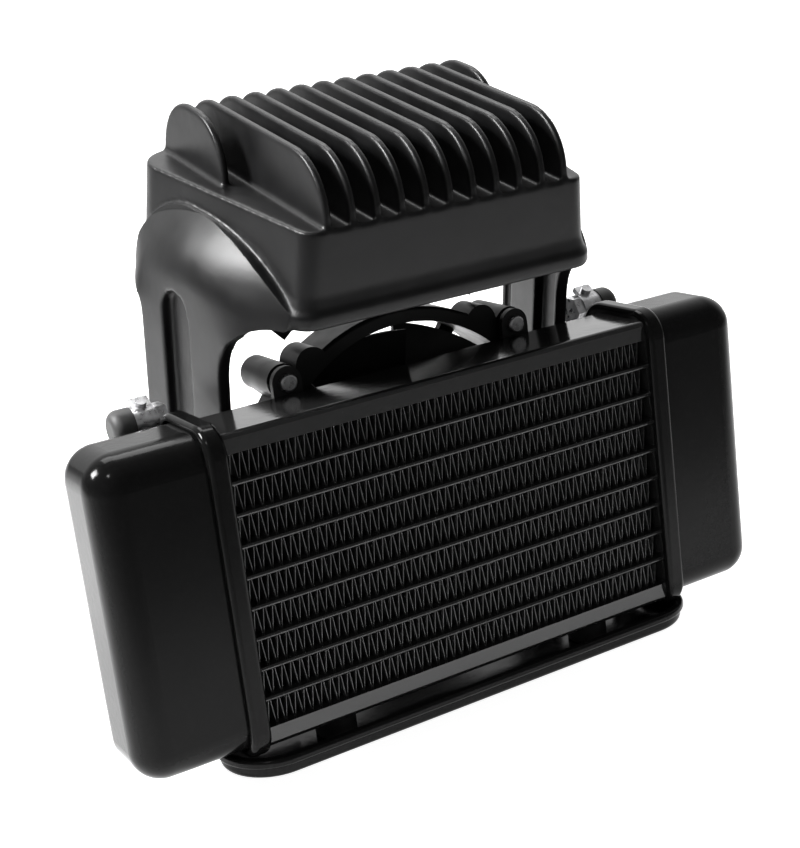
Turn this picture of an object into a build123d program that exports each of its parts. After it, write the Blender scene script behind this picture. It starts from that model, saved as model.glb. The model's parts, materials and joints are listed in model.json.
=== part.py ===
from build123d import *
import math
import os

# Fan-assisted hydraulic oil cooler: a tube-and-fin core that leans back, an end tank on each side,
# an electric fan behind the core, a finned cast cover over the fan and a tray under the core.
#
# Two frames are used, both in millimetres.
# Cover frame: X to the right, Y to the rear, Z up, origin at the centre of the core's front plane.
# Core frame: the same origin, turned about X by LEAN, so that y runs back through the core and z
# runs up along it. Parts of the core, the tanks, the tray and the fan are drawn in the core frame.
# At the end everything is shifted so that the origin is the bottom centre of the whole object.

# ---- driving dimensions ----
LEAN = 13.3                    # the core leans back by this many degrees

# core
TUBE_COUNT = 8
ROW_PITCH = 15.4
TUBE_HEIGHT = 2.4
TUBE_WALL = 0.6
CORE_DEPTH = 39.0
CORE_HALF_WIDTH = 120.6
CORE_HALF_HEIGHT = 78.0
FIN_FRONT = 3.6
FIN_REAR = 36.4
FIN_WAVES = 50
FIN_THICKNESS = 0.35
FIN_CREST = 0.9
BAR_WALL = 3.0
HEADER_THICKNESS = 3.4

# tank flanges and end tanks
FLANGE_WIDTH = 10.4
FLANGE_FRONT = -5.0
FLANGE_REAR = 54.0
FLANGE_HALF_HEIGHT = 83.0
FLANGE_CORNER = 15.0
TANK_FRONT = -1.0
TANK_REAR = 50.0
TANK_BOTTOM = -80.0
TANK_TOP = 79.5
TANK_END = 185.0
TANK_CORNER = 16.0
TANK_WALL = 2.5
COLLAR_CORNER = 12.0

# oil ports
PORT_Y = 66.0
PORT_Z = 74.5
NECK_Z = 70.5
SCREW_X = 133.0
PORT_RADIUS = 8.5
PORT_BORE = 4.5
PORT_BORE_DEPTH = 6.5
HOSE_X = 130.5
HOSE_REAR = 76.0
PLUG_RADIUS = 3.0
NECK_X = 135.6
NECK_RADIUS = 4.6
NECK_BORE = 2.6
NECK_REAR = 56.5
PORT_INNER_END = 122.0
CAP_JOINT = 139.0
CAP_END = 150.0

# fan
FAN_Z = 16.5
FAN_HALF_SQUARE = 67.0
RING_BORE = 80.5
RING_WALL = 2.5
RING_OUTER = 88.0
RING_FRONT = 44.0
RING_REAR = 78.0
SKIRT_REAR = 69.0
LUG_RADIUS = 8.5
LUG_REAR = 74.0
EAR_X = 50.0
EAR_Z = 71.0
EAR_RADIUS = 9.0
EAR_REAR = 62.0
BLADE_COUNT = 8
BLADE_TIP = 76.5
BLADE_CHORD = 62.0
BLADE_PITCH_ANGLE = -24.0
BLADE_THICKNESS = 2.2
BLADE_MIDDLE = 59.5
ROTOR_PHASE = 29.5
HUB_RADIUS = 29.0
HUB_FRONT = 50.0
HUB_REAR = 72.0
MOTOR_RADIUS = 25.5
MOTOR_FRONT = 56.0
MOTOR_REAR = 92.0
SHAFT_RADIUS = 3.0
SHAFT_CLEARANCE = 0.05
ARM_COUNT = 5

# straps and brackets behind the core
STRAP_THICKNESS = 3.0
STRAP_HALF_WIDTH = 8.0
BRACKET_FACE = 90.5            # outer face of the bracket web, against the leg bosses
BRACKET_WEB = 2.5
BRACKET_FLANGE_END = 115.0
BRACKET_FLANGE_TOP = 76.0

# tray and isolators
TRAY_HALF_LENGTH = 140.0
TRAY_DEPTH = 57.0
TRAY_FLOOR = -92.0
TRAY_TOP = -81.5
TRAY_SHEET = 2.0
TRAY_BEAD_HEIGHT = 4.6
TRAY_EDGE = 3.0
ISOLATOR_X = 78.0
ISOLATOR_Y = 16.0
ISOLATOR_RADIUS = 10.5

# finned cover
BOX_FRONT = 15.4
BOX_REAR = 160.0
BOX_BOTTOM = 117.0
BOX_TOP = 163.0
BOX_HALF_FRONT = 79.6
BOX_DRAFT = 4.2                # how much narrower each side is at the top
SIDE_TAPER = 0.162             # how much wider each side gets for each mm to the rear
BOX_CORNER = 9.0
BOX_REAR_CORNER = 20.0
WALL = 3.5
BEAD = 2.6
BEAD_HEIGHT = 8.5
FLARE_TOP = 132.0
FIN_TOP = 193.0
COVER_FIN_PITCH = 12.88
LONG_FINS = 11
COVER_FIN_THICKNESS = 3.8
FIN_NOSE = 30.0
SHORT_FIN_START = 92.0
SHORT_FIN_NOSE = 28.0

# side legs of the cover, each with a domed cheek that joins it to the box
LEG_FRONT = 58.5
LEG_REAR = 125.0
LEG_X = 102.0                  # outer face at the leg's front edge
LEG_WALL = 4.0
LEG_DEPTH = 6.5
CHEEK_DEPTH = 20.0
CHEEK_LOW = 104.0
CHEEK_ROUND = 14.0
CHEEK_TOP = 151.8
CHEEK_FOOT = 116.0
CHEEK_FRONT = 19.0
CHEEK_REAR = 142.0
FRONT_ARCH = 36.0
REAR_ARCH = 23.0
CHANNEL_FRONT = 83.5
CHANNEL_REAR = 105.0
CHANNEL_TOP = 115.0
CHANNEL_STEP = 5.0
BOSS_Y = 94.5
BRACKET_BOLT_Z = (22.0, -40.0)
FRAME_HOLE_Z = (-5.0, -75.0)
FRAME_HOLE_RADIUS = 4.25
FRAME_BOSS_RADIUS = 8.0

SIDES = {"left": -1, "right": 1}

# ---- values that follow from the driving dimensions ----
lean = math.radians(LEAN)
side_angle = math.degrees(math.atan(SIDE_TAPER))
row_gap = ROW_PITCH - TUBE_HEIGHT
bar_height = CORE_HALF_HEIGHT - (TUBE_COUNT + 1) * ROW_PITCH / 2 + TUBE_HEIGHT / 2
header_outer = CORE_HALF_WIDTH + HEADER_THICKNESS
flange_outer = CORE_HALF_WIDTH + FLANGE_WIDTH
strap_rear = CORE_DEPTH + STRAP_THICKNESS
tray_middle = CORE_DEPTH / 2
tray_edge_y = tray_middle + TRAY_DEPTH / 2 - TRAY_SHEET - TRAY_EDGE
tray_edge_z = TRAY_FLOOR + TRAY_EDGE
ground = tray_edge_z * math.cos(lean) - tray_edge_y * math.sin(lean) - TRAY_EDGE

parts = {}


# ---- helpers ----
def in_core(shape):
    """Turn a shape drawn in the core frame into the cover frame."""
    return Rot(-LEAN, 0, 0) * shape


def in_fan(shape):
    """Place a shape drawn about the Z axis on the fan's axis, with z running back from the core."""
    return in_core(Pos(0, 0, FAN_Z) * Rot(-90, 0, 0) * shape)


def block(x0, x1, y0, y1, z0, z1):
    return Pos((x0 + x1) / 2, (y0 + y1) / 2, (z0 + z1) / 2) * Box(x1 - x0, y1 - y0, z1 - z0)


def slab(x0, x1, y0, y1, z0, z1, corner):
    """A block whose four edges along X are rounded."""
    plane = Plane(origin=(x0, (y0 + y1) / 2, (z0 + z1) / 2), x_dir=(0, 1, 0), z_dir=(1, 0, 0))
    return extrude(plane * RectangleRounded(y1 - y0, z1 - z0, corner), x1 - x0)


def rod_x(x0, x1, y, z, radius):
    return Pos((x0 + x1) / 2, y, z) * Rot(0, 90, 0) * Cylinder(radius, x1 - x0)


def rod_y(x, y0, y1, z, radius):
    return Pos(x, (y0 + y1) / 2, z) * Rot(90, 0, 0) * Cylinder(radius, y1 - y0)


def rod_z(x, y, z0, z1, radius):
    return Pos(x, y, (z0 + z1) / 2) * Cylinder(radius, z1 - z0)


def mirrored(shape):
    return mirror(shape, about=Plane.YZ)


def both_sides(shape):
    return [shape, mirrored(shape)]


def tube_height_at(index):
    """Height of a cooling tube's middle, counted from 1 at the top."""
    return ((TUBE_COUNT + 1) / 2 - index) * ROW_PITCH


# ---- core ----
def tube_section(length, height):
    return Plane(origin=(0, CORE_DEPTH / 2, 0), x_dir=(0, 1, 0), z_dir=(1, 0, 0)) * SlotOverall(length, height)


def cooling_tube():
    outside = extrude(tube_section(CORE_DEPTH, TUBE_HEIGHT), header_outer, both=True)
    inside_size = (CORE_DEPTH - 2 * TUBE_WALL, TUBE_HEIGHT - 2 * TUBE_WALL)
    inside = extrude(tube_section(*inside_size), header_outer, both=True)
    return outside - inside


def zigzag_points():
    """Middle line of the corrugated strip, flat at each crest, from left to right."""
    span = 2 * CORE_HALF_WIDTH - 1.2
    half_wave = span / (2 * FIN_WAVES)
    crest_z = row_gap / 2 - FIN_THICKNESS / 2
    points = []
    for step in range(2 * FIN_WAVES):
        x = -span / 2 + (step + 0.5) * half_wave
        z = crest_z if step % 2 else -crest_z
        points.append((x - FIN_CREST / 2, z))
        points.append((x + FIN_CREST / 2, z))
    return points


def thickened(points, thickness):
    """Outline of a bent sheet: the middle line moved by half its thickness to each side."""
    sides = ([], [])
    for i, here in enumerate(points):
        before = Vector(*points[max(i - 1, 0)])
        after = Vector(*points[min(i + 1, len(points) - 1)])
        middle = Vector(*here)
        way_in = (middle - before).normalized() if i else (after - middle).normalized()
        way_out = (after - middle).normalized() if i < len(points) - 1 else way_in
        normal_in = Vector(-way_in.Y, way_in.X)
        normal_out = Vector(-way_out.Y, way_out.X)
        miter = (normal_in + normal_out).normalized()
        reach = thickness / 2 / miter.dot(normal_in)
        sides[0].append(middle + miter * reach)
        sides[1].append(middle - miter * reach)
    return sides[0] + sides[1][::-1]


def fin_strip():
    outline = [(p.X, p.Y) for p in thickened(zigzag_points(), FIN_THICKNESS)]
    face = Plane.XZ.offset(-FIN_FRONT) * make_face(Polyline(*outline, close=True))
    return extrude(face, FIN_FRONT - FIN_REAR)


def core_bar():
    """Hollow bar that closes the top of the core, with its front edges rounded."""
    low = CORE_HALF_HEIGHT - bar_height
    outside = block(-CORE_HALF_WIDTH, CORE_HALF_WIDTH, 0, CORE_DEPTH, low, CORE_HALF_HEIGHT)
    outside = fillet(outside.edges().filter_by(Axis.X).group_by(Axis.Z)[-1], 2.6)
    inside = block(
        -CORE_HALF_WIDTH, CORE_HALF_WIDTH, BAR_WALL, CORE_DEPTH - BAR_WALL,
        low + BAR_WALL, CORE_HALF_HEIGHT - BAR_WALL,
    )
    return outside - inside


def rivet_places(x, z):
    """Holes for the rivets that hold a strap or a bracket on the rear of the two bars."""
    return [(side * x, up * z) for side in (-1, 1) for up in (-1, 1)]


RIVET_RADIUS = 2.0
RIVET_Z = 73.0
STRAP_RIVET_X = FAN_HALF_SQUARE
BRACKET_RIVET_X = 109.0
rivets_at = rivet_places(STRAP_RIVET_X, RIVET_Z) + rivet_places(BRACKET_RIVET_X, RIVET_Z)
ISOLATOR_THREAD = 3.0


def make_core():
    tube = cooling_tube()
    for i in range(1, TUBE_COUNT + 1):
        parts[f"cooling_tube_{i}"] = in_core(Pos(0, 0, tube_height_at(i)) * tube)
    strip = fin_strip()
    for i in range(1, TUBE_COUNT + 2):
        parts[f"fin_strip_{i}"] = in_core(Pos(0, 0, tube_height_at(i) + ROW_PITCH / 2) * strip)

    rivet_hole = [rod_y(x, CORE_DEPTH - BAR_WALL - 1, CORE_DEPTH + 1, z, RIVET_RADIUS) for x, z in rivets_at]
    top = core_bar()
    bottom = mirror(top, about=Plane.XY)
    for hole in rivet_hole:
        top -= hole
        bottom -= hole
    for side in (-1, 1):
        bottom -= rod_z(side * ISOLATOR_X, ISOLATOR_Y, -CORE_HALF_HEIGHT - 1, -CORE_HALF_HEIGHT + 4,
                        ISOLATOR_THREAD)
    parts["core_top_bar"] = in_core(top)
    parts["core_bottom_bar"] = in_core(bottom)


# ---- tank flanges and end tanks, drawn for the right side ----
def header_plate():
    plate = slab(CORE_HALF_WIDTH, header_outer, TANK_FRONT, TANK_REAR, TANK_BOTTOM, -TANK_BOTTOM, COLLAR_CORNER)
    slot = extrude(tube_section(CORE_DEPTH, TUBE_HEIGHT), header_outer + 1)
    for i in range(1, TUBE_COUNT + 1):
        plate -= Pos(0, 0, tube_height_at(i)) * slot
    return plate


def tank_flange():
    rim = slab(CORE_HALF_WIDTH, flange_outer, FLANGE_FRONT, FLANGE_REAR,
               -FLANGE_HALF_HEIGHT, FLANGE_HALF_HEIGHT, FLANGE_CORNER)
    rounded = [e for f in (rim.faces().sort_by(Axis.X)[0], rim.faces().sort_by(Axis.X)[-1]) for e in f.edges()]
    rim = fillet(rounded, 2.8)
    return rim - slab(CORE_HALF_WIDTH - 1, flange_outer + 1, TANK_FRONT, TANK_REAR,
                      TANK_BOTTOM, -TANK_BOTTOM, COLLAR_CORNER)


def tank_shape(inset):
    """The rounded end tank from its open side at the header, shrunk by inset on the other sides."""
    start = header_outer if inset == 0 else header_outer - 1
    body = block(start, TANK_END - inset, TANK_FRONT + inset, TANK_REAR - inset,
                 TANK_BOTTOM + inset, TANK_TOP - inset)
    open_side = body.faces().sort_by(Axis.X)[0].edges()
    rounded = [e for e in body.edges() if not any(e.is_same(o) for o in open_side)]
    return fillet(rounded, TANK_CORNER - inset)


def end_tank():
    neck = rod_y(NECK_X, TANK_REAR - 12, NECK_REAR, NECK_Z, NECK_RADIUS)
    tank = tank_shape(0) + neck
    tank -= tank_shape(TANK_WALL)
    return tank - rod_y(NECK_X, TANK_REAR - 14, NECK_REAR + 1, NECK_Z, NECK_BORE)


def port_fitting():
    """Silver fitting behind the tank. Its hose bore opens to the rear and the cap closes its outer end."""
    body = rod_x(PORT_INNER_END + 5, CAP_JOINT, PORT_Y, PORT_Z, PORT_RADIUS)
    flat = Pos(SCREW_X, PORT_Y, PORT_Z + PORT_RADIUS) * Rot(35, 0, 0) * Box(10, 9, 3)
    spigot = rod_y(NECK_X, NECK_REAR, PORT_Y, NECK_Z, CAP_JOINT - NECK_X)
    end = Plane(origin=(PORT_INNER_END, PORT_Y, PORT_Z), x_dir=(0, 1, 0), z_dir=(1, 0, 0))
    hexagon = extrude(end * RegularPolygon(8.6, 6), 5)
    boss = rod_y(HOSE_X, PORT_Y, HOSE_REAR, PORT_Z, PORT_BORE + 1.7)
    body = body + hexagon + flat + spigot + boss
    body -= rod_x(PORT_INNER_END + 4, CAP_JOINT + 1, PORT_Y, PORT_Z, PLUG_RADIUS)
    body -= rod_y(HOSE_X, PORT_Y, HOSE_REAR, PORT_Z, NECK_BORE)
    body -= rod_y(HOSE_X, HOSE_REAR - PORT_BORE_DEPTH, HOSE_REAR + 1, PORT_Z, PORT_BORE)
    return body - rod_y(NECK_X, NECK_REAR - 1, PORT_Y, NECK_Z, NECK_BORE)


def port_cap():
    """Rubber cap over the outer end of the fitting."""
    plug = rod_x(CAP_JOINT - 4, CAP_JOINT, PORT_Y, PORT_Z, PLUG_RADIUS)
    cap = rod_x(CAP_JOINT, CAP_END, PORT_Y, PORT_Z, PORT_RADIUS + 0.8)
    cap = fillet(cap.faces().sort_by(Axis.X)[-1].edges(), 5)
    return plug + cap


def port_screw():
    return Pos(SCREW_X, PORT_Y, PORT_Z + PORT_RADIUS) * Rot(35, 0, 0) * rod_z(0, 0, 1.5, 4.0, 2.8)


def make_tanks():
    shapes = {
        "header_plate": header_plate(),
        "tank_flange": tank_flange(),
        "end_tank": end_tank(),
        "port_fitting": port_fitting(),
        "port_cap": port_cap(),
    }
    for name, shape in shapes.items():
        parts[f"{name}_right"] = in_core(shape)
        parts[f"{name}_left"] = in_core(mirrored(shape))
    parts["port_screws"] = in_core(Compound(both_sides(port_screw())))


# ---- fan ----
def fan_tube(front, rear, outer, inner):
    """A ring about the fan's axis."""
    middle = (front + rear) / 2
    return Pos(0, 0, middle) * (Cylinder(outer, rear - front) - Cylinder(inner, rear - front + 1))


def fan_corners(x, y):
    return [(sx * x, sy * y) for sx in (-1, 1) for sy in (-1, 1)]


def fan_shroud():
    """Double-walled ring with four screw lugs, four ears beside them and arms that hold the motor."""
    skirt = Pos(0, 0, (RING_FRONT + SKIRT_REAR) / 2) * Cylinder(RING_OUTER, SKIRT_REAR - RING_FRONT)
    shroud = fillet(skirt.edges().group_by(Axis.Z)[0], 2)
    for x, y in fan_corners(EAR_X, EAR_Z):
        shroud += rod_z(x, y, RING_FRONT, EAR_REAR, EAR_RADIUS)
    for x, y in fan_corners(FAN_HALF_SQUARE, FAN_HALF_SQUARE):
        shroud += rod_z(x, y, RING_FRONT, LUG_REAR, LUG_RADIUS)
        web = Box(16, 2 * LUG_RADIUS, SKIRT_REAR - RING_FRONT)
        angle = math.degrees(math.atan2(y, x))
        middle = Vector(1, 0).rotate(Axis.Z, angle) * (FAN_HALF_SQUARE * math.sqrt(2) - 8)
        shroud += Pos(middle.X, middle.Y, (RING_FRONT + SKIRT_REAR) / 2) * Rot(0, 0, angle) * web
    shroud -= fan_tube(RING_FRONT + 3, SKIRT_REAR + 10, RING_OUTER - RING_WALL, RING_BORE + RING_WALL)
    shroud += fan_tube(RING_FRONT + 2, RING_REAR, RING_BORE + RING_WALL, RING_BORE)
    shroud -= Pos(0, 0, (RING_FRONT + RING_REAR) / 2) * Cylinder(RING_BORE, RING_REAR - RING_FRONT + 2)
    arm_start = MOTOR_RADIUS + 3
    arm_end = RING_BORE + RING_WALL / 2
    arm = Pos((arm_start + arm_end) / 2, 0, RING_REAR - 2) * Box(arm_end - arm_start, 9, 4)
    for i in range(ARM_COUNT):
        shroud += Rot(0, 0, 360 / ARM_COUNT * i + 18) * arm
    shroud += fan_tube(RING_REAR - 4, RING_REAR, 34, MOTOR_RADIUS)
    for x, y in fan_corners(FAN_HALF_SQUARE, FAN_HALF_SQUARE):
        shroud -= rod_z(x, y, RING_FRONT - 1, LUG_REAR + 1, 2.6)
    return shroud


def fan_impeller():
    cup = Pos(0, 0, (HUB_FRONT + HUB_REAR) / 2) * Cylinder(HUB_RADIUS, HUB_REAR - HUB_FRONT)
    cup = fillet(cup.edges().group_by(Axis.Z)[0], 3)
    blade = Pos((HUB_RADIUS + BLADE_TIP) / 2, 0, BLADE_MIDDLE) * Rot(BLADE_PITCH_ANGLE, 0, 0) * Box(
        BLADE_TIP - HUB_RADIUS + 20, BLADE_CHORD, BLADE_THICKNESS)
    wedge_angle = 360 / BLADE_COUNT / 2 - 2.2
    far = 2 * BLADE_TIP
    wedge = make_face(Polyline(
        (0, 0),
        (far, -far * math.tan(math.radians(wedge_angle))),
        (far, far * math.tan(math.radians(wedge_angle))),
        close=True,
    ))
    reach = extrude(Pos(0, 0, HUB_FRONT - 8) * wedge, HUB_REAR - HUB_FRONT + 20)
    blade = blade & reach & (Pos(0, 0, BLADE_MIDDLE) * Cylinder(BLADE_TIP, 60))
    impeller = cup
    for i in range(BLADE_COUNT):
        impeller += Rot(0, 0, ROTOR_PHASE + 360 / BLADE_COUNT * i) * blade
    hollow = Pos(0, 0, (HUB_FRONT + 3 + HUB_REAR + 5) / 2) * Cylinder(HUB_RADIUS - 2, HUB_REAR - HUB_FRONT + 2)
    impeller -= hollow
    boss = Pos(0, 0, HUB_FRONT + 4) * Cylinder(7, 4)
    impeller += boss
    return impeller - Pos(0, 0, HUB_FRONT + 3) * Cylinder(SHAFT_RADIUS, 8)


BEARING_LENGTH = 6.0
BEARING_RADIUS = 8.0


def motor_can():
    """Steel can, closed at the front around the front bearing and open at the rear."""
    can = Pos(0, 0, (MOTOR_FRONT + MOTOR_REAR) / 2) * Cylinder(MOTOR_RADIUS, MOTOR_REAR - MOTOR_FRONT)
    can = fillet(can.edges().group_by(Axis.Z)[0], 2.5)
    inside_front = MOTOR_FRONT + 2
    can -= Pos(0, 0, (inside_front + MOTOR_REAR) / 2 + 0.5) * Cylinder(MOTOR_RADIUS - 1.5, MOTOR_REAR - inside_front + 1)
    seat = Pos(0, 0, MOTOR_FRONT + BEARING_LENGTH / 2) * Cylinder(BEARING_RADIUS + 1.5, BEARING_LENGTH)
    can += seat
    return can - Pos(0, 0, MOTOR_FRONT + BEARING_LENGTH / 2) * Cylinder(BEARING_RADIUS, BEARING_LENGTH + 2)


def motor_end_cap():
    cap = Pos(0, 0, MOTOR_REAR - 2) * Cylinder(MOTOR_RADIUS - 1.5, 4)
    bell = Pos(0, 0, MOTOR_REAR + 2.5) * Cylinder(BEARING_RADIUS + 3, 5)
    cap += fillet(bell.edges().group_by(Axis.Z)[-1], 1.5)
    return cap - Pos(0, 0, MOTOR_REAR - 1) * Cylinder(BEARING_RADIUS, BEARING_LENGTH)


def bearing():
    return Cylinder(BEARING_RADIUS, BEARING_LENGTH) - Cylinder(SHAFT_RADIUS + SHAFT_CLEARANCE, BEARING_LENGTH + 1)


def magnet_ring():
    middle = (MOTOR_FRONT + MOTOR_REAR) / 2
    return Pos(0, 0, middle) * (Cylinder(MOTOR_RADIUS - 1.5, 20) - Cylinder(19, 21))


def armature():
    middle = (MOTOR_FRONT + MOTOR_REAR) / 2
    stack = Pos(0, 0, middle) * Cylinder(18, 16)
    slot = Pos(15.5, 0, middle) * Box(7, 3, 18)
    for i in range(8):
        stack -= Rot(0, 0, 45 * i) * slot
    return stack - Pos(0, 0, middle) * Cylinder(SHAFT_RADIUS, 20)


def motor_shaft():
    front = HUB_FRONT + 0.5
    rear = MOTOR_REAR + 1.5
    return Pos(0, 0, (front + rear) / 2) * Cylinder(SHAFT_RADIUS, rear - front)


def fan_screw(head_at, tip_at):
    """Pan-head screw along z, with its head at head_at, pointing at tip_at."""
    way = 1 if tip_at > head_at else -1
    head = Pos(0, 0, head_at - way * 1.5) * Cylinder(4.6, 3)
    edge = head.edges().group_by(Axis.Z)[0 if way > 0 else -1]
    head = fillet(edge, 1.2)
    return head + Pos(0, 0, (head_at + tip_at) / 2) * Cylinder(2.6, abs(tip_at - head_at))


def make_fan():
    parts["fan_shroud"] = in_fan(fan_shroud())
    parts["fan_impeller"] = in_fan(fan_impeller())
    parts["motor_can"] = in_fan(motor_can())
    parts["motor_end_cap"] = in_fan(motor_end_cap())
    parts["motor_magnets"] = in_fan(magnet_ring())
    parts["motor_armature"] = in_fan(armature())
    parts["motor_shaft"] = in_fan(motor_shaft())
    bearing_z = (MOTOR_FRONT + BEARING_LENGTH / 2, MOTOR_REAR - 1)
    parts["motor_bearings"] = in_fan(Compound([Pos(0, 0, z) * bearing() for z in bearing_z]))

    half = FAN_HALF_SQUARE
    upper = fan_screw(CORE_DEPTH, LUG_REAR - 12)
    lower = fan_screw(LUG_REAR, CORE_DEPTH)
    # z of the fan's drawing frame runs back, and its y runs down the core
    parts["fan_screws_upper"] = in_fan(Compound([Pos(sx * half, -half, 0) * upper for sx in (-1, 1)]))
    parts["fan_screws_lower"] = in_fan(Compound([Pos(sx * half, half, 0) * lower for sx in (-1, 1)]))
    washer = rod_z(0, 0, strap_rear, RING_FRONT, 6) - rod_z(0, 0, strap_rear - 1, RING_FRONT + 1, 2.6)
    washers = [Pos(x, y, 0) * washer for x, y in fan_corners(half, half)]
    parts["fan_washers"] = in_fan(Compound(washers))


# ---- straps and brackets ----
def fan_strap():
    """Flat strip behind the core that carries one side of the fan."""
    top = FAN_Z + FAN_HALF_SQUARE
    strap = block(FAN_HALF_SQUARE - STRAP_HALF_WIDTH, FAN_HALF_SQUARE + STRAP_HALF_WIDTH,
                  CORE_DEPTH, strap_rear, -CORE_HALF_HEIGHT, top)
    strap += rod_y(FAN_HALF_SQUARE, CORE_DEPTH, strap_rear, top, STRAP_HALF_WIDTH)
    for z in (top, FAN_Z - FAN_HALF_SQUARE):
        strap -= rod_y(FAN_HALF_SQUARE, CORE_DEPTH - 1, strap_rear + 1, z, 2.6)
    for z in (-RIVET_Z, RIVET_Z):
        strap -= rod_y(STRAP_RIVET_X, CORE_DEPTH - 1, strap_rear + 1, z, RIVET_RADIUS)
    return strap


def core_point(y, z):
    """A point of the core frame's side view, in the cover frame."""
    return (y * math.cos(lean) + z * math.sin(lean), z * math.cos(lean) - y * math.sin(lean))


def side_bracket():
    """Angle bracket: its flange is riveted to the rear of the core, its web bolted to a leg."""
    web_inner = BRACKET_FACE - BRACKET_WEB
    flange = in_core(block(web_inner, BRACKET_FLANGE_END, CORE_DEPTH, CORE_DEPTH + BRACKET_WEB,
                           -CORE_HALF_HEIGHT, BRACKET_FLANGE_TOP))
    corners = [
        core_point(CORE_DEPTH, BRACKET_FLANGE_TOP),
        core_point(CORE_DEPTH, -CORE_HALF_HEIGHT),
        (BOSS_Y + 9, BRACKET_BOLT_Z[1] - 12),
        (BOSS_Y + 9, BRACKET_BOLT_Z[0] + 10),
    ]
    outline = Plane(origin=(web_inner, 0, 0), x_dir=(0, 1, 0), z_dir=(1, 0, 0)) * make_face(
        Polyline(*corners, close=True))
    web = extrude(outline, BRACKET_WEB)
    for z in BRACKET_BOLT_Z:
        web -= rod_x(web_inner - 1, BRACKET_FACE + 1, BOSS_Y, z, 3.2)
    opening = rod_x(web_inner - 1, BRACKET_FACE + 1, 62, -5, 14)
    bracket = flange + (web - opening)
    for z in (-RIVET_Z, RIVET_Z):
        bracket -= in_core(rod_y(BRACKET_RIVET_X, CORE_DEPTH - 1, CORE_DEPTH + BRACKET_WEB + 1, z, RIVET_RADIUS))
    return bracket


def rivet(x, z, sheet):
    rear = CORE_DEPTH + sheet
    head = fillet(rod_y(x, rear, rear + 1.5, z, 3.4).edges().group_by(Axis.Y)[-1], 1)
    return rod_y(x, CORE_DEPTH - BAR_WALL, rear, z, RIVET_RADIUS) + head


def bracket_bolt(z):
    """Hexagon bolt from inside the web, through the leg's boss, along X."""
    web_inner = BRACKET_FACE - BRACKET_WEB
    head = Plane(origin=(web_inner - 4, BOSS_Y, z), x_dir=(0, 1, 0), z_dir=(1, 0, 0)) * RegularPolygon(5.6, 6)
    return extrude(head, 4) + rod_x(web_inner, LEG_X + 4, BOSS_Y, z, 3.2)


def bracket_nut(z):
    face = Plane(origin=(LEG_X - 0.5, BOSS_Y, z), x_dir=(0, 1, 0), z_dir=(1, 0, 0))
    return extrude(face * RegularPolygon(5.6, 6), 4) - rod_x(LEG_X - 2, LEG_X + 6, BOSS_Y, z, 3.2)


def make_brackets():
    strap = fan_strap()
    parts["fan_strap_right"] = in_core(strap)
    parts["fan_strap_left"] = in_core(mirrored(strap))
    strap_rivets = [rivet(x, z, STRAP_THICKNESS) for x, z in rivet_places(STRAP_RIVET_X, RIVET_Z)]
    parts["strap_rivets"] = in_core(Compound(strap_rivets))
    bracket = side_bracket()
    parts["side_bracket_right"] = bracket
    parts["side_bracket_left"] = mirrored(bracket)
    bracket_rivets = [rivet(x, z, BRACKET_WEB) for x, z in rivet_places(BRACKET_RIVET_X, RIVET_Z)]
    parts["bracket_rivets"] = in_core(Compound(bracket_rivets))
    bolts = [bracket_bolt(z) for z in BRACKET_BOLT_Z]
    nuts = [bracket_nut(z) for z in BRACKET_BOLT_Z]
    parts["bracket_bolts"] = Compound(bolts + [mirrored(b) for b in bolts])
    parts["bracket_nuts"] = Compound(nuts + [mirrored(n) for n in nuts])


# ---- tray and isolators ----
def stadium(z0, z1, inset):
    plane = Plane(origin=(0, tray_middle, z0))
    return extrude(plane * SlotOverall(2 * TRAY_HALF_LENGTH - 2 * inset, TRAY_DEPTH - 2 * inset), z1 - z0)




def mount_tray():
    wall = fillet(stadium(TRAY_FLOOR, TRAY_TOP, TRAY_SHEET).edges().group_by(Axis.Z)[0], TRAY_EDGE)
    bead = stadium(TRAY_TOP - TRAY_BEAD_HEIGHT, TRAY_TOP, 0)
    bead = fillet(bead.edges().group_by(Axis.Z)[0] + bead.edges().group_by(Axis.Z)[-1], 1.8)
    tray = wall + bead - stadium(TRAY_FLOOR + TRAY_SHEET, TRAY_TOP + 1, 2 * TRAY_SHEET)
    for side in (-1, 1):
        low, high = sorted((side * (CORE_HALF_WIDTH - 1), side * (flange_outer + 1)))
        tray -= block(low, high, tray_middle, CORE_DEPTH + 40, -FLANGE_HALF_HEIGHT - 1.5, TRAY_TOP + 1)
        tray -= rod_z(side * ISOLATOR_X, ISOLATOR_Y, TRAY_FLOOR - 1, TRAY_FLOOR + 4, ISOLATOR_THREAD)
    return tray


def isolator():
    rubber = rod_z(0, 0, TRAY_FLOOR + TRAY_SHEET, -CORE_HALF_HEIGHT, ISOLATOR_RADIUS)
    rubber = fillet(rubber.edges().filter_by(GeomType.CIRCLE), 1)
    return rubber - rod_z(0, 0, TRAY_FLOOR, -CORE_HALF_HEIGHT + 1, ISOLATOR_THREAD)


def isolator_bolt():
    head = fillet(rod_z(0, 0, TRAY_FLOOR - 2.6, TRAY_FLOOR, 5.5).edges().group_by(Axis.Z)[0], 1.2)
    return head + rod_z(0, 0, TRAY_FLOOR, -CORE_HALF_HEIGHT + BAR_WALL, ISOLATOR_THREAD)


def make_tray():
    parts["mount_tray"] = in_core(mount_tray())
    for name, side in SIDES.items():
        parts[f"isolator_{name}"] = in_core(Pos(side * ISOLATOR_X, ISOLATOR_Y, 0) * isolator())
    bolts = [Pos(side * ISOLATOR_X, ISOLATOR_Y, 0) * isolator_bolt() for side in (-1, 1)]
    parts["isolator_bolts"] = in_core(Compound(bolts))


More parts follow.
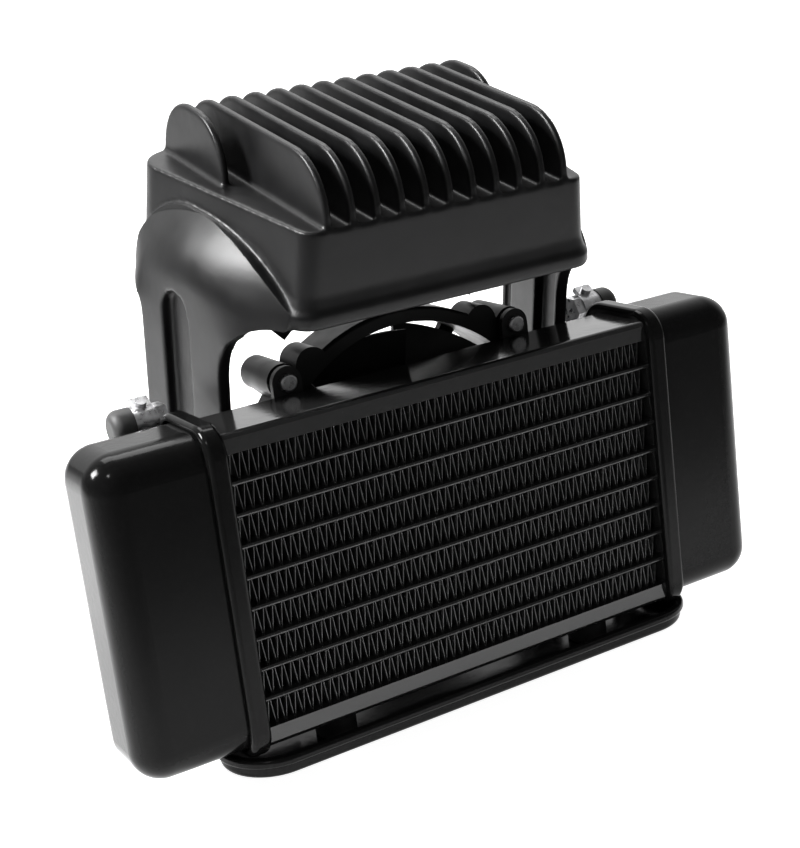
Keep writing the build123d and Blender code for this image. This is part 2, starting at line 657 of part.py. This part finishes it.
# ---- finned cover ----
def box_outline(z, half_front, inset):
    """Plan of the cover's box at height z: wider to the rear, with rounded corners."""
    front = BOX_FRONT + inset
    rear = BOX_REAR - inset
    half_rear = half_front + SIDE_TAPER * (BOX_REAR - BOX_FRONT)
    corners = [
        (-half_front + inset, front),
        (half_front - inset, front),
        (half_rear - inset, rear),
        (-half_rear + inset, rear),
    ]
    face = make_face(Polyline(*corners, close=True))
    face = fillet(face.vertices().group_by(Axis.Y)[-1], BOX_REAR_CORNER - inset)
    return Pos(0, 0, z) * fillet(face.vertices().group_by(Axis.Y)[0], BOX_CORNER - inset)


def box_body(inset, bottom, top):
    return loft([
        box_outline(bottom, BOX_HALF_FRONT, inset),
        box_outline(top, BOX_HALF_FRONT - BOX_DRAFT, inset),
    ])


def cover_fin(start, nose):
    """One fin of the cover, standing on the roof, rounded at both ends and along its edges."""
    low = BOX_TOP - 2
    rear = BOX_REAR - 0.5
    middle_z = FIN_TOP - nose
    rear_z = FIN_TOP - FIN_NOSE
    with BuildLine() as line:
        Line((start, low), (start, middle_z))
        CenterArc((start + nose, middle_z), nose, 180, -90)
        Line((start + nose, FIN_TOP), (rear - FIN_NOSE, FIN_TOP))
        CenterArc((rear - FIN_NOSE, rear_z), FIN_NOSE, 90, -90)
        Line((rear, rear_z), (rear, low))
        Line((rear, low), (start, low))
    half = COVER_FIN_THICKNESS / 2
    plane = Plane(origin=(-half, 0, 0), x_dir=(0, 1, 0), z_dir=(1, 0, 0))
    fin = extrude(plane * make_face(line.line), COVER_FIN_THICKNESS)
    rim = [e for f in fin.faces().filter_by(Axis.X) for e in f.edges() if e.center().Z > low + 0.5]
    return fillet(rim, 1.4)


def leg_outline():
    """Side view of a leg with its cheek. Its flat coordinates are the distance back and the height."""
    front_centre = (LEG_FRONT - FRONT_ARCH, CHEEK_FOOT - FRONT_ARCH)
    rear_centre = (LEG_REAR + REAR_ARCH, CHEEK_FOOT - REAR_ARCH)
    crown = (95.0, CHEEK_TOP)
    front_tip = (CHEEK_FRONT, CHEEK_FOOT + 9)
    rear_tip = (CHEEK_REAR + 1, CHEEK_FOOT + 12)
    with BuildLine() as line:
        Line((LEG_FRONT, ground), (LEG_FRONT, front_centre[1]))
        CenterArc(front_centre, FRONT_ARCH, 0, 90)
        Line((front_centre[0], CHEEK_FOOT), (CHEEK_FRONT, CHEEK_FOOT))
        Line((CHEEK_FRONT, CHEEK_FOOT), front_tip)
        ThreePointArc(front_tip, (54.0, 144.6), crown)
        ThreePointArc(crown, (124.0, 146.3), rear_tip)
        Line(rear_tip, (rear_tip[0], CHEEK_FOOT))
        Line((rear_tip[0], CHEEK_FOOT), (rear_centre[0], CHEEK_FOOT))
        CenterArc(rear_centre, REAR_ARCH, 90, 90)
        Line((LEG_REAR, rear_centre[1]), (LEG_REAR, ground))
        Line((LEG_REAR, ground), (LEG_FRONT, ground))
    return make_face(line.line)


def channel_outline(grow):
    half = (CHANNEL_REAR - CHANNEL_FRONT) / 2 + grow
    middle = (CHANNEL_REAR + CHANNEL_FRONT) / 2
    low = ground - 1
    high = CHANNEL_TOP + grow - half
    face = Pos(middle, (low + high) / 2) * Rectangle(2 * half, high - low)
    return face + Pos(middle, high) * Circle(half)


def leg_plate(face, x0, x1):
    plane = Plane(origin=(x0, 0, 0), x_dir=(0, 1, 0), z_dir=(1, 0, 0))
    return extrude(plane * face, x1 - x0)


def side_leg():
    """Right leg and cheek, drawn with its outer face on the plane x = 0 and then turned into place."""
    leg = leg_plate(leg_outline(), -CHEEK_DEPTH, 0)
    outer = leg.faces().sort_by(Axis.X)[-1]
    soft = [e for e in outer.edges() if e.center().Z > CHEEK_FOOT + 1]
    leg = fillet(soft, CHEEK_ROUND)
    leg -= block(-CHEEK_DEPTH - 1, -LEG_DEPTH, 0, CHEEK_REAR + 10, ground - 5, CHEEK_LOW)
    leg -= block(-LEG_DEPTH - 1, -LEG_WALL, LEG_FRONT + LEG_WALL, LEG_REAR - LEG_WALL, ground - 1, CHEEK_LOW - 2)
    hollow = Pos(86, 110) * Ellipse(44, 24)
    leg -= leg_plate(hollow, -CHEEK_DEPTH - 1, -9)
    floor = leg_plate(channel_outline(LEG_WALL), -CHANNEL_STEP - LEG_WALL, -LEG_WALL + 0.5)
    leg += floor & block(-20, 0, 0, LEG_REAR, ground, CHANNEL_TOP + LEG_WALL)
    leg -= leg_plate(channel_outline(0), -CHANNEL_STEP, 1)
    return Pos(LEG_X, LEG_FRONT, 0) * Rot(0, 0, -side_angle) * Pos(0, -LEG_FRONT, 0) * leg


def leg_bosses():
    inner = BRACKET_FACE
    bosses = [rod_x(inner, LEG_X - 1.5, BOSS_Y, z, FRAME_BOSS_RADIUS) for z in BRACKET_BOLT_Z + FRAME_HOLE_Z]
    return bosses[0] + bosses[1:]


HANGER_SCREW_X = 3 * COVER_FIN_PITCH
HANGER_SCREW_Y = 92.0
HANGER_FLANGE_TOP = 153.0


def finned_cover():
    roof = 4.0
    cavity = box_body(WALL, BOX_BOTTOM - 8, BOX_TOP - roof)
    shell = box_body(0, BOX_BOTTOM, BOX_TOP)
    bead = extrude(offset(box_outline(BOX_BOTTOM, BOX_HALF_FRONT, 0), BEAD), BEAD_HEIGHT)
    bead = fillet(bead.edges().group_by(Axis.Z)[0] + bead.edges().group_by(Axis.Z)[-1], 2)
    flare_half = BOX_HALF_FRONT - BOX_DRAFT * (FLARE_TOP - BOX_BOTTOM) / (BOX_TOP - BOX_BOTTOM)
    flare = loft([
        offset(box_outline(BOX_BOTTOM + BEAD_HEIGHT - 2, BOX_HALF_FRONT, 0), BEAD * 0.6),
        box_outline(FLARE_TOP, flare_half, 0),
    ])
    shell += bead
    shell += flare
    long_fin = cover_fin(BOX_FRONT + 1, FIN_NOSE)
    short_fin = cover_fin(SHORT_FIN_START, SHORT_FIN_NOSE)
    last = LONG_FINS // 2
    for k in range(-last, last + 1):
        shell += Pos(k * COVER_FIN_PITCH, 0, 0) * long_fin
    for side in (-1, 1):
        shell += Pos(side * (last + 1) * COVER_FIN_PITCH, 0, 0) * short_fin
    leg = side_leg() + leg_bosses()
    cover = shell + leg + mirrored(leg)
    cover -= cavity
    for side in (-1, 1):
        cover += rod_z(side * HANGER_SCREW_X, HANGER_SCREW_Y, HANGER_FLANGE_TOP, BOX_TOP - roof + 1, 6)
        cover -= rod_z(side * HANGER_SCREW_X, HANGER_SCREW_Y, HANGER_FLANGE_TOP - 1, BOX_TOP - 1, 2.5)
        for z in BRACKET_BOLT_Z:
            low, high = sorted((side * (BRACKET_FACE - 1), side * (LEG_X + 20)))
            cover -= rod_x(low, high, BOSS_Y, z, 3.2)
        for z in FRAME_HOLE_Z:
            low, high = sorted((side * (BRACKET_FACE - 1), side * (LEG_X + 20)))
            cover -= rod_x(low, high, BOSS_Y, z, FRAME_HOLE_RADIUS)
        for z in BRACKET_BOLT_Z + FRAME_HOLE_Z:
            low, high = sorted((side * (LEG_X - 0.5), side * (LEG_X + 20)))
            cover -= rod_x(low, high, BOSS_Y, z, 8.5)
    return cover


def inner_bracket():
    """Sheet bracket under the cover's roof, whose two pointed arms hang below the cover's edge."""
    arm_x = 55.0
    tip_z = 82.0
    half = 6.0
    front = 82.0
    sheet = 3.0
    bracket = block(-64, 64, front, front + 18, HANGER_FLANGE_TOP - sheet, HANGER_FLANGE_TOP)
    bracket += block(-64, 64, front, front + sheet, HANGER_FLANGE_TOP - 14, HANGER_FLANGE_TOP)
    arm = [(-half, HANGER_FLANGE_TOP - 10), (-half, tip_z + half), (0, tip_z), (half, tip_z + half),
           (half, HANGER_FLANGE_TOP - 10)]
    face = Plane(origin=(0, front, 0), x_dir=(1, 0, 0), z_dir=(0, -1, 0)) * make_face(Polyline(*arm, close=True))
    arm_plate = extrude(face, -sheet)
    for side in (-1, 1):
        bracket += Pos(side * arm_x, 0, 0) * arm_plate
        bracket -= rod_z(side * HANGER_SCREW_X, HANGER_SCREW_Y, HANGER_FLANGE_TOP - 5, HANGER_FLANGE_TOP + 1, 2.5)
    return bracket


def hanger_screw():
    low = HANGER_FLANGE_TOP - 3
    head = fillet(rod_z(0, 0, low - 3, low, 4.5).edges().group_by(Axis.Z)[0], 1.2)
    return head + rod_z(0, 0, low, BOX_TOP - 1.5, 2.5)


def make_cover():
    parts["finned_cover"] = finned_cover()
    parts["inner_bracket"] = inner_bracket()
    screws = [Pos(side * HANGER_SCREW_X, HANGER_SCREW_Y, 0) * hanger_screw() for side in (-1, 1)]
    parts["inner_bracket_screws"] = Compound(screws)


make_core()
make_tanks()
make_fan()
make_brackets()
make_tray()
make_cover()

# ---- shift to the bottom centre of the whole object and write ----
whole = Compound([shape for shape in parts.values()]).bounding_box()
shift = Pos(-whole.center().X, -whole.center().Y, -whole.min.Z)
os.makedirs("parts", exist_ok=True)
for name, shape in parts.items():
    export_step(shift * shape, f"parts/{name}.step")
print("shift", shift.position)
print("size", whole.size)
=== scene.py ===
import json
import math

import bmesh
import bpy
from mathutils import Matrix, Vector


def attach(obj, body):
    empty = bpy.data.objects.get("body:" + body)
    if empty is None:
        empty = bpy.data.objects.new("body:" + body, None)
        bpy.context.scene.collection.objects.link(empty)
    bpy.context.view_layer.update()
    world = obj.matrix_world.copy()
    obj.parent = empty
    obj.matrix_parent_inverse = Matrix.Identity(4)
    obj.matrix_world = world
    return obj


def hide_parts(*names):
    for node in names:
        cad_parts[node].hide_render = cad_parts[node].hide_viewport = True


# Looks of a fan-assisted hydraulic oil cooler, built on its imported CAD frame.
# Everything is in metres in the row frame: +X right, +Y to the rear, +Z up, origin at the bottom centre.

# ---- camera ----
CAMERA_PLACE = (-0.38796, -0.63999, 0.51556)
CAMERA_AIM = (0.46261, 0.75710, -0.46130)
CAMERA_LENS = 68.83
CAMERA_SENSOR = 36.0

# ---- world: brightest towards BRIGHT_SIDE ----
BRIGHT_SIDE = (0.46, 0.88, 0.09)
DIM_WORLD = 0.18
BRIGHT_WORLD = 1.5
WORLD_FADE_START = 0.2         # cosine of the angle from BRIGHT_SIDE
WORLD_FADE_END = 1.0

# ---- floor and the two pools of light on it ----
FLOOR_HALF_SIZE = 6.0
FLOOR_LEVEL = -0.0005
POOL_EDGE_START = 0.9          # in radii of the pool
POOL_EDGE_END = 1.6
BACKDROP_PLACE = (0.48, 0.78)
BACKDROP_TURN = math.radians(58.6)
BACKDROP_SIZE = (1.25, 0.76)
BACKDROP_GLOW = 0.95
SIDE_POOL_PLACE = (-0.38, 0.22)
SIDE_POOL_SIZE = (0.16, 0.16)
SIDE_POOL_GLOW = 0.7

# ---- the cover's cast skin ----
WELD_DISTANCE = 0.00001
COVER_VOXEL = 0.001
COVER_SMOOTHING = 8

# ---- body that carries every piece but the rotor ----
HOUSING = "cooler"

# ---- cheeks of the cover ----
FRAME_Y = -0.0672              # from the cover's drawing to the row frame
FRAME_Z = 0.0995051
BOX_SIDE = 0.0796              # half width of the box at its front foot
BOX_FRONT = 0.0154 + FRAME_Y
BOX_FOOT = 0.117 + FRAME_Z
BOX_DRAFT = 0.091              # how much narrower each side gets per metre of height
SIDE_TAPER = 0.162             # how much wider each side gets per metre to the rear
LEG_FACE = 0.102               # outer face of a leg at its front edge
LEG_FRONT = 0.0585 + FRAME_Y
ARCH_MIDDLE = 0.0835 + FRAME_Y
ARCH_HALF_LENGTH = 0.068
ARCH_FOOT = 0.116 + FRAME_Z
ARCH_RISE = 0.036
ARCH_FRONT = 0.028 + FRAME_Y
ARCH_REAR = 0.146 + FRAME_Y
LEG_REAR = 0.125 + FRAME_Y
LEG_BLEND = 0.015              # half the height over which the dome turns into the leg
WALL_MARGIN = 0.001            # the box's own wall, which stays as it is
DOME_WIDTH = 0.032             # from the arch's rim to the dome's full height
CHEEK_STEP = 0.002             # step at the arch's rim


# ---- node helpers ----
class Shader:
    """A new node material around one Principled shader."""

    def __init__(self, name, rough, metal=0.0, specular=0.5):
        self.material = bpy.data.materials.new(name)
        self.material.use_nodes = True
        self.nodes = self.material.node_tree.nodes
        self.links = self.material.node_tree.links
        self.main = self.nodes["Principled BSDF"]
        self.main.inputs["Roughness"].default_value = rough
        self.main.inputs["Metallic"].default_value = metal
        self.main.inputs["Specular IOR Level"].default_value = specular
        self.place = self.nodes.new("ShaderNodeTexCoord")

    def noise(self, scale, detail=4.0, roughness=0.5, stretch=None):
        """Noise in the object's own coordinates: scale in features per metre, stretch along X, Y and Z."""
        node = self.nodes.new("ShaderNodeTexNoise")
        node.inputs["Scale"].default_value = scale
        node.inputs["Detail"].default_value = detail
        node.inputs["Roughness"].default_value = roughness
        source = self.place.outputs["Object"]
        if stretch:
            mapping = self.nodes.new("ShaderNodeMapping")
            mapping.inputs["Scale"].default_value = stretch
            self.links.new(source, mapping.inputs["Vector"])
            source = mapping.outputs["Vector"]
        self.links.new(source, node.inputs["Vector"])
        return node.outputs["Fac"]

    def ramp(self, factor, low, high, start=0.35, end=0.65):
        """Colours low to high as factor goes from start to end."""
        node = self.nodes.new("ShaderNodeValToRGB")
        node.color_ramp.elements[0].position = start
        node.color_ramp.elements[1].position = end
        node.color_ramp.elements[0].color = (*low, 1)
        node.color_ramp.elements[1].color = (*high, 1)
        self.links.new(factor, node.inputs["Fac"])
        return node.outputs["Color"]

    def spread(self, factor, low, high):
        """A number from low to high as factor goes from 0.3 to 0.7."""
        node = self.nodes.new("ShaderNodeMapRange")
        node.inputs["From Min"].default_value = 0.3
        node.inputs["From Max"].default_value = 0.7
        node.inputs["To Min"].default_value = low
        node.inputs["To Max"].default_value = high
        self.links.new(factor, node.inputs["Value"])
        return node.outputs["Result"]

    def bump(self, height, strength, distance, below=None):
        node = self.nodes.new("ShaderNodeBump")
        node.inputs["Strength"].default_value = strength
        node.inputs["Distance"].default_value = distance
        self.links.new(height, node.inputs["Height"])
        if below:
            self.links.new(below, node.inputs["Normal"])
        return node.outputs["Normal"]

    def set(self, name, output):
        self.links.new(output, self.main.inputs[name])


def scaled(colour, factor):
    return tuple(c * factor for c in colour)


def satin_casting(name, colour, rough):
    """Powder-coated casting: fine grain, faint mottling and slow waves."""
    shader = Shader(name, rough, specular=0.24)
    mottle = shader.noise(60, 5)
    grain = shader.noise(2600, 3, 0.6)
    waves = shader.noise(55, 2)
    shader.set("Base Color", shader.ramp(mottle, scaled(colour, 0.8), scaled(colour, 1.2)))
    shader.set("Roughness", shader.spread(mottle, rough - 0.04, rough + 0.05))
    slow = shader.bump(waves, 0.12, 0.002)
    shader.set("Normal", shader.bump(grain, 0.3, 0.00012, slow))
    return shader.material


def gloss_paint(name, colour, rough, specular=0.10):
    """Thick black stove enamel: a clear glossy skin with slight orange peel, dust and wiping marks."""
    shader = Shader(name, rough, specular=specular)
    dust = shader.noise(420, 6, 0.7)
    smear = shader.noise(40, 4)
    peel = shader.noise(260, 2)
    shader.set("Base Color", shader.ramp(dust, colour, scaled(colour, 1.8), 0.5, 0.8))
    shader.set("Roughness", shader.spread(smear, rough - 0.03, rough + 0.06))
    shader.set("Normal", shader.bump(peel, 0.10, 0.0004))
    return shader.material


def painted_fin(name):
    """Thin black paint on aluminium foil, with lighter grey specks at random that are painted highlight to
    brighten the fins.
    """
    shader = Shader(name, 0.3, specular=0.8)
    painted_sheen = shader.noise(900, 4, 0.7)
    # lighter grey specks at random: painted highlight that brightens the fins, not wear
    shader.set("Base Color", shader.ramp(painted_sheen, (0.008, 0.008, 0.008), (0.12, 0.12, 0.12), 0.45, 0.8))
    shader.set("Roughness", shader.spread(painted_sheen, 0.28, 0.5))
    shader.set("Normal", shader.bump(painted_sheen, 0.2, 0.0002))
    return shader.material


def moulded_plastic(name, colour, rough, specular=0.4):
    """Moulded or sprayed matt surface with flow marks and a fine grain."""
    shader = Shader(name, rough, specular=specular)
    flow = shader.noise(90, 3)
    grain = shader.noise(1800, 2)
    shader.set("Base Color", shader.ramp(flow, scaled(colour, 0.8), scaled(colour, 1.3)))
    shader.set("Roughness", shader.spread(flow, rough - 0.05, rough + 0.08))
    shader.set("Normal", shader.bump(grain, 0.15, 0.0001))
    return shader.material


def plated_steel(name, colour, rough, streaks=(1, 1, 14)):
    """Zinc-plated or ground steel: fine streaks and small dull patches."""
    shader = Shader(name, rough, metal=1.0)
    lines = shader.noise(900, 3, stretch=streaks)
    patches = shader.noise(350, 5)
    shader.set("Base Color", shader.ramp(patches, scaled(colour, 0.7), colour))
    shader.set("Roughness", shader.spread(patches, rough - 0.06, rough + 0.15))
    shader.set("Normal", shader.bump(lines, 0.15, 0.0001))
    return shader.material


def black_rubber(name):
    """Moulded rubber with a faint grey bloom."""
    shader = Shader(name, 0.55)
    bloom = shader.noise(150, 5)
    grain = shader.noise(3000, 2)
    shader.set("Base Color", shader.ramp(bloom, (0.016, 0.016, 0.016), (0.034, 0.034, 0.034)))
    shader.set("Roughness", shader.spread(bloom, 0.45, 0.65))
    shader.set("Normal", shader.bump(grain, 0.2, 0.0001))
    return shader.material


def make_materials():
    """One material for each slot in the record."""
    return {
        "core_paint": gloss_paint("core_enamel", (0.010, 0.010, 0.010), 0.12, 0.5),
        "fin_paint": painted_fin("fin_paint"),
        "flange_gloss": gloss_paint("flange_enamel", (0.004, 0.004, 0.004), 0.08),
        "tank_satin": gloss_paint("tank_enamel", (0.004, 0.004, 0.004), 0.12),
        "cover_satin": satin_casting("cover_powder_coat", (0.004, 0.004, 0.0042), 0.36),
        "fan_plastic": moulded_plastic("fan_plastic", (0.004, 0.004, 0.004), 0.4, 0.25),
        "bracket_paint": moulded_plastic("bracket_paint", (0.01, 0.01, 0.01), 0.4),
        "tray_gloss": gloss_paint("tray_enamel", (0.005, 0.005, 0.005), 0.14),
        "motor_paint": moulded_plastic("motor_paint", (0.015, 0.015, 0.015), 0.35),
        "zinc_steel": plated_steel("zinc_plate", (0.72, 0.72, 0.73), 0.28),
        "lamination_steel": plated_steel("ground_steel", (0.45, 0.45, 0.46), 0.3),
        "ferrite": moulded_plastic("ferrite", (0.04, 0.04, 0.042), 0.6),
        "bronze": plated_steel("sintered_bronze", (0.55, 0.36, 0.18), 0.45),
        "rubber": black_rubber("black_rubber"),
    }


def dress(nodes, record, materials):
    """Gives every CAD node the material of its slot in the record."""
    for part in record["subparts"]:
        node = nodes[part["node"]]
        node.data.materials.clear()
        node.data.materials.append(materials[part["material_slot"]])


# ---- pieces ----
def cast_skin(node, name, voxel, smoothing):
    """A copy of a CAD node as one casting: welded, remeshed and smoothed, with soft corners."""
    mesh = node.data.copy()
    skin = bpy.data.objects.new(name, mesh)
    bpy.context.scene.collection.objects.link(skin)
    shape = bmesh.new()
    shape.from_mesh(mesh)
    bmesh.ops.remove_doubles(shape, verts=shape.verts, dist=WELD_DISTANCE)
    shape.to_mesh(mesh)
    shape.free()
    remesh = skin.modifiers.new("remesh", "REMESH")
    remesh.mode = "VOXEL"
    remesh.voxel_size = voxel
    remesh.use_smooth_shade = True
    smooth = skin.modifiers.new("smooth", "SMOOTH")
    smooth.factor = 0.5
    smooth.iterations = smoothing
    bake(skin)
    return skin


def bake(piece):
    """Applies the modifiers of a piece."""
    bpy.context.view_layer.update()
    graph = bpy.context.evaluated_depsgraph_get()
    baked = bpy.data.meshes.new_from_object(piece.evaluated_get(graph))
    piece.modifiers.clear()
    piece.data = baked


def fade(value, start, end):
    """0 at start, 1 at end, and smooth in between."""
    part = min(max((value - start) / (end - start), 0), 1)
    return part * part * (3 - 2 * part)


def cheek_swell(depth, height):
    """How far the cheek stands out at a point: 0 at the box wall, 1 at the leg's face."""
    across = (depth - ARCH_MIDDLE) / ARCH_HALF_LENGTH
    up = max(height - ARCH_FOOT, 0) / ARCH_RISE
    inside = (1 - math.hypot(across, up)) * ARCH_RISE
    dome = math.sin(min(max(inside / DOME_WIDTH, 0), 1) * math.pi / 2)
    leg = fade(depth, ARCH_FRONT, LEG_FRONT) * fade(depth, ARCH_REAR, LEG_REAR)
    leg *= fade(height, ARCH_FOOT + LEG_BLEND, ARCH_FOOT - LEG_BLEND)
    return 1 - (1 - dome) * (1 - leg)


def round_cheeks(mesh):
    """Bulges each cheek from the box wall out to the leg's face in one soft dome."""
    for vertex in mesh.vertices:
        depth, height = vertex.co.y, vertex.co.z
        box_side = BOX_SIDE + SIDE_TAPER * (depth - BOX_FRONT) - BOX_DRAFT * (height - BOX_FOOT)
        leg_face = LEG_FACE + SIDE_TAPER * (depth - LEG_FRONT)
        if height < ARCH_FOOT - LEG_BLEND or abs(vertex.co.x) < box_side + WALL_MARGIN:
            continue
        low = box_side + CHEEK_STEP
        target = low + (leg_face - low) * cheek_swell(depth, height)
        if target < abs(vertex.co.x):
            vertex.co.x = math.copysign(target, vertex.co.x)


def make_cover(nodes, materials):
    """The cover as one soft casting with domed cheeks, in place of its CAD node."""
    skin = cast_skin(nodes["finned_cover"], "cast_cover", COVER_VOXEL, COVER_SMOOTHING)
    round_cheeks(skin.data)
    skin.data.materials.clear()
    skin.data.materials.append(materials["cover_satin"])
    for face in skin.data.polygons:
        face.use_smooth = True
    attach(skin, HOUSING)
    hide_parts("finned_cover")


# ---- stage, light and camera ----
def pool(shader, centre, turn, lengths, strength):
    """Elliptical pool of light on the floor: even in the middle, with a soft edge."""
    mapping = shader.nodes.new("ShaderNodeMapping")
    mapping.vector_type = "TEXTURE"
    mapping.inputs["Location"].default_value = (*centre, 0)
    mapping.inputs["Rotation"].default_value = (0, 0, turn)
    mapping.inputs["Scale"].default_value = (*lengths, 1)
    distance = shader.nodes.new("ShaderNodeVectorMath")
    distance.operation = "LENGTH"
    edge = shader.nodes.new("ShaderNodeMapRange")
    edge.interpolation_type = "SMOOTHSTEP"
    edge.inputs["From Min"].default_value = POOL_EDGE_START
    edge.inputs["From Max"].default_value = POOL_EDGE_END
    edge.inputs["To Min"].default_value = strength
    edge.inputs["To Max"].default_value = 0.0
    shader.links.new(shader.place.outputs["Object"], mapping.inputs["Vector"])
    shader.links.new(mapping.outputs["Vector"], distance.inputs[0])
    shader.links.new(distance.outputs["Value"], edge.inputs["Value"])
    return edge.outputs["Result"]


def make_floor():
    """Pale paper floor that glows softly under and behind the object."""
    mesh = bpy.data.meshes.new("floor")
    half = FLOOR_HALF_SIZE
    corners = [(-half, -half, 0), (half, -half, 0), (half, half, 0), (-half, half, 0)]
    mesh.from_pydata(corners, [], [(0, 1, 2, 3)])
    floor = bpy.data.objects.new("floor", mesh)
    bpy.context.scene.collection.objects.link(floor)
    floor.location.z = FLOOR_LEVEL
    shader = Shader("floor_paper", 0.9)
    fibre = shader.noise(30, 4)
    shader.set("Base Color", shader.ramp(fibre, (0.80, 0.80, 0.80), (0.82, 0.82, 0.82)))
    glow = shader.nodes.new("ShaderNodeMath")
    glow.operation = "ADD"
    backdrop = pool(shader, BACKDROP_PLACE, BACKDROP_TURN, BACKDROP_SIZE, BACKDROP_GLOW)
    side = pool(shader, SIDE_POOL_PLACE, 0, SIDE_POOL_SIZE, SIDE_POOL_GLOW)
    shader.links.new(backdrop, glow.inputs[0])
    shader.links.new(side, glow.inputs[1])
    shader.main.inputs["Emission Color"].default_value = (1, 1, 1, 1)
    shader.set("Emission Strength", glow.outputs["Value"])
    mesh.materials.append(shader.material)


def area_light(name, place, aim, size, power, spread=180):
    """Rectangular soft light. A small spread, in degrees, keeps it off the floor around the object."""
    light = bpy.data.lights.new(name, "AREA")
    light.spread = math.radians(spread)
    light.shape = "RECTANGLE"
    light.size, light.size_y = size
    light.energy = power
    lamp = bpy.data.objects.new(name, light)
    lamp.location = place
    lamp.rotation_euler = (Vector(aim) - Vector(place)).to_track_quat("-Z", "Y").to_euler()
    bpy.context.scene.collection.objects.link(lamp)


def make_world():
    """Studio surroundings: brightest behind the object and softly dimmer towards the camera."""
    world = bpy.data.worlds.new("studio")
    bpy.context.scene.world = world
    world.use_nodes = True
    nodes = world.node_tree.nodes
    links = world.node_tree.links
    place = nodes.new("ShaderNodeTexCoord")
    toward = nodes.new("ShaderNodeVectorMath")
    toward.operation = "DOT_PRODUCT"
    toward.inputs[1].default_value = BRIGHT_SIDE
    shift = nodes.new("ShaderNodeMapRange")
    shift.interpolation_type = "SMOOTHSTEP"
    shift.inputs["From Min"].default_value = WORLD_FADE_START
    shift.inputs["From Max"].default_value = WORLD_FADE_END
    shift.inputs["To Min"].default_value = DIM_WORLD
    shift.inputs["To Max"].default_value = BRIGHT_WORLD
    links.new(place.outputs["Generated"], toward.inputs[0])
    links.new(toward.outputs["Value"], shift.inputs["Value"])
    links.new(shift.outputs["Result"], nodes["Background"].inputs["Strength"])
    nodes["Background"].inputs["Color"].default_value = (1, 1, 1, 1)


def make_lights():
    area_light("top_softbox", (0.1, 0.9, 1.3), (0, 0.05, 0.2), (1.0, 0.6), 14)
    area_light("left_softbox", (-1.20, 0.60, 1.02), (-0.1, 0.02, 0.2), (0.5, 0.5), 5.0, spread=45)
    area_light("corner_lamp", (-0.6, -0.35, 1.1), (-0.15, -0.05, 0.15), (0.12, 0.12), 1.6)


def make_camera():
    data = bpy.data.cameras.new("camera")
    data.lens = CAMERA_LENS
    data.sensor_width = CAMERA_SENSOR
    camera = bpy.data.objects.new("camera", data)
    camera.location = CAMERA_PLACE
    camera.rotation_euler = Vector(CAMERA_AIM).to_track_quat("-Z", "Y").to_euler()
    bpy.context.scene.collection.objects.link(camera)
    bpy.context.scene.camera = camera


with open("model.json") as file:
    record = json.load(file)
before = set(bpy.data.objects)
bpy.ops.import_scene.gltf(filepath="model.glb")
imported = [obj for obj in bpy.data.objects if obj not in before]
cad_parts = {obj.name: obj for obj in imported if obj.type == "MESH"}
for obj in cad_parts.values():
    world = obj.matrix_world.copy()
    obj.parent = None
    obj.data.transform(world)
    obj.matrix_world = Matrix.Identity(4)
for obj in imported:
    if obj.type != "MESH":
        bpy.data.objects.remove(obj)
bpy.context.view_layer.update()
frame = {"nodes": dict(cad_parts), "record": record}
materials = make_materials()
dress(frame["nodes"], frame["record"], materials)
make_cover(frame["nodes"], materials)
make_floor()
make_world()
make_lights()
make_camera()
bpy.context.scene.view_settings.view_transform = "Standard"
